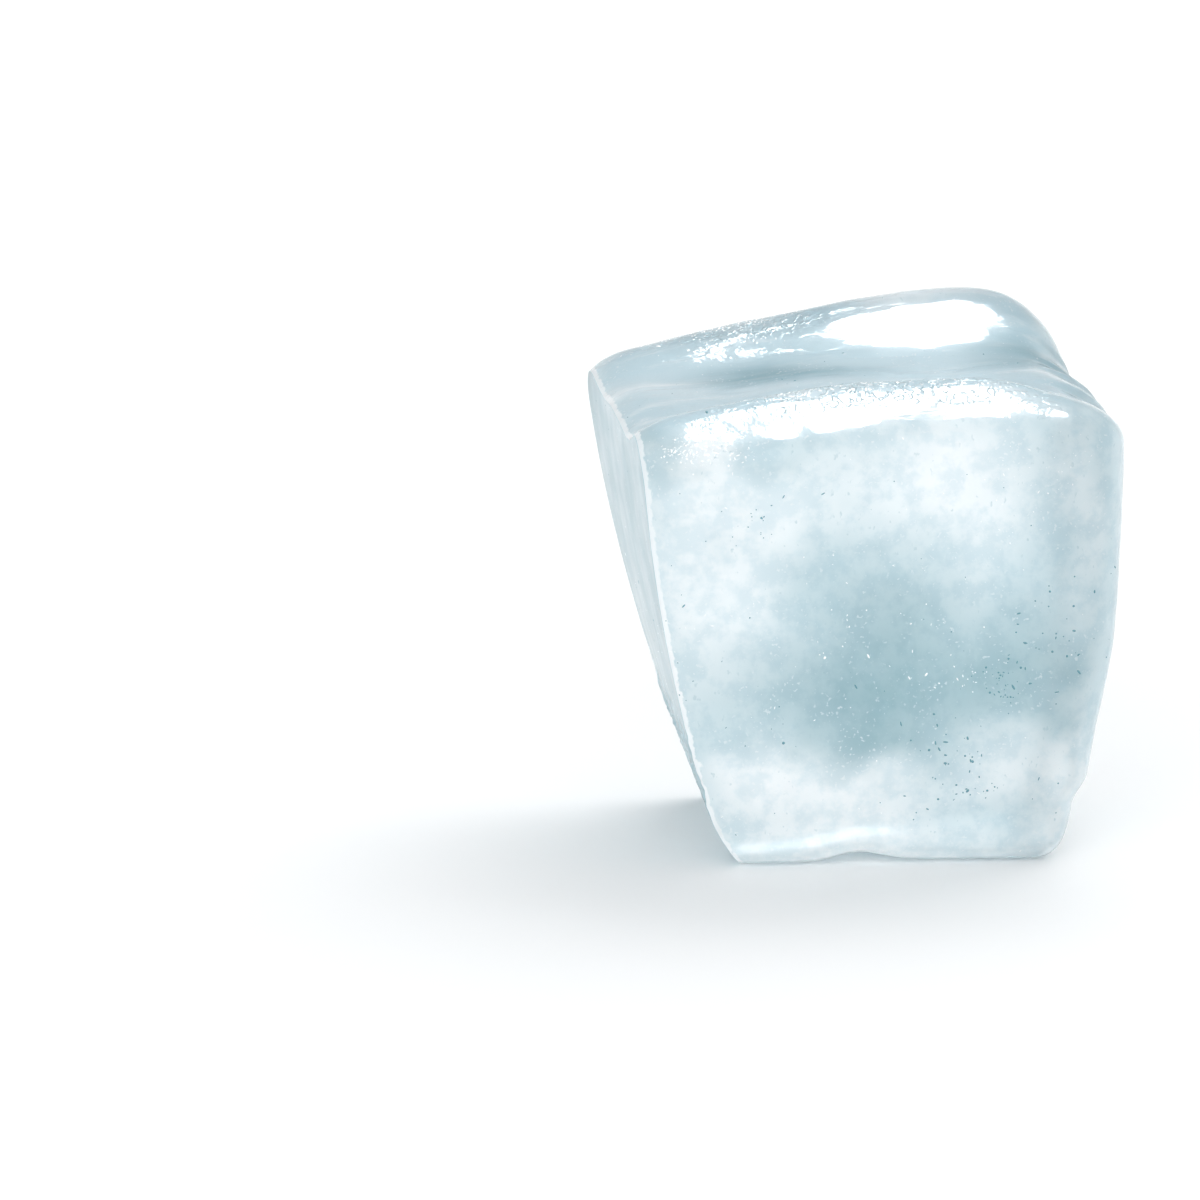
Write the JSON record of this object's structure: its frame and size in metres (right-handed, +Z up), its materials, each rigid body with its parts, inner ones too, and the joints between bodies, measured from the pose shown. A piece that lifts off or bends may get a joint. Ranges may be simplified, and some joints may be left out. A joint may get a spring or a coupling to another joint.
{
  "type": "ice cube",
  "caption": "Ice cube from a tapered tray well, with melted edges, a ridged and humped top and one broken flat side, standing on its narrow end.",
  "frame": {"origin": "middle of the footprint's bounding box, on the surface that the cube stands on", "axes": "+Z up from the narrow foot to the frozen top, +X to the right, away from the broken side, +Y to the back, where the ridge is"},
  "size_m": [0.0386, 0.032, 0.0403],
  "materials": {
    "ice": "clear to cloudy ice with a faint blue-green tint and a frosted, wet surface"
  },
  "bodies": {
    "root": {"ice_cube": "ice"}
  },
  "joints": []
}
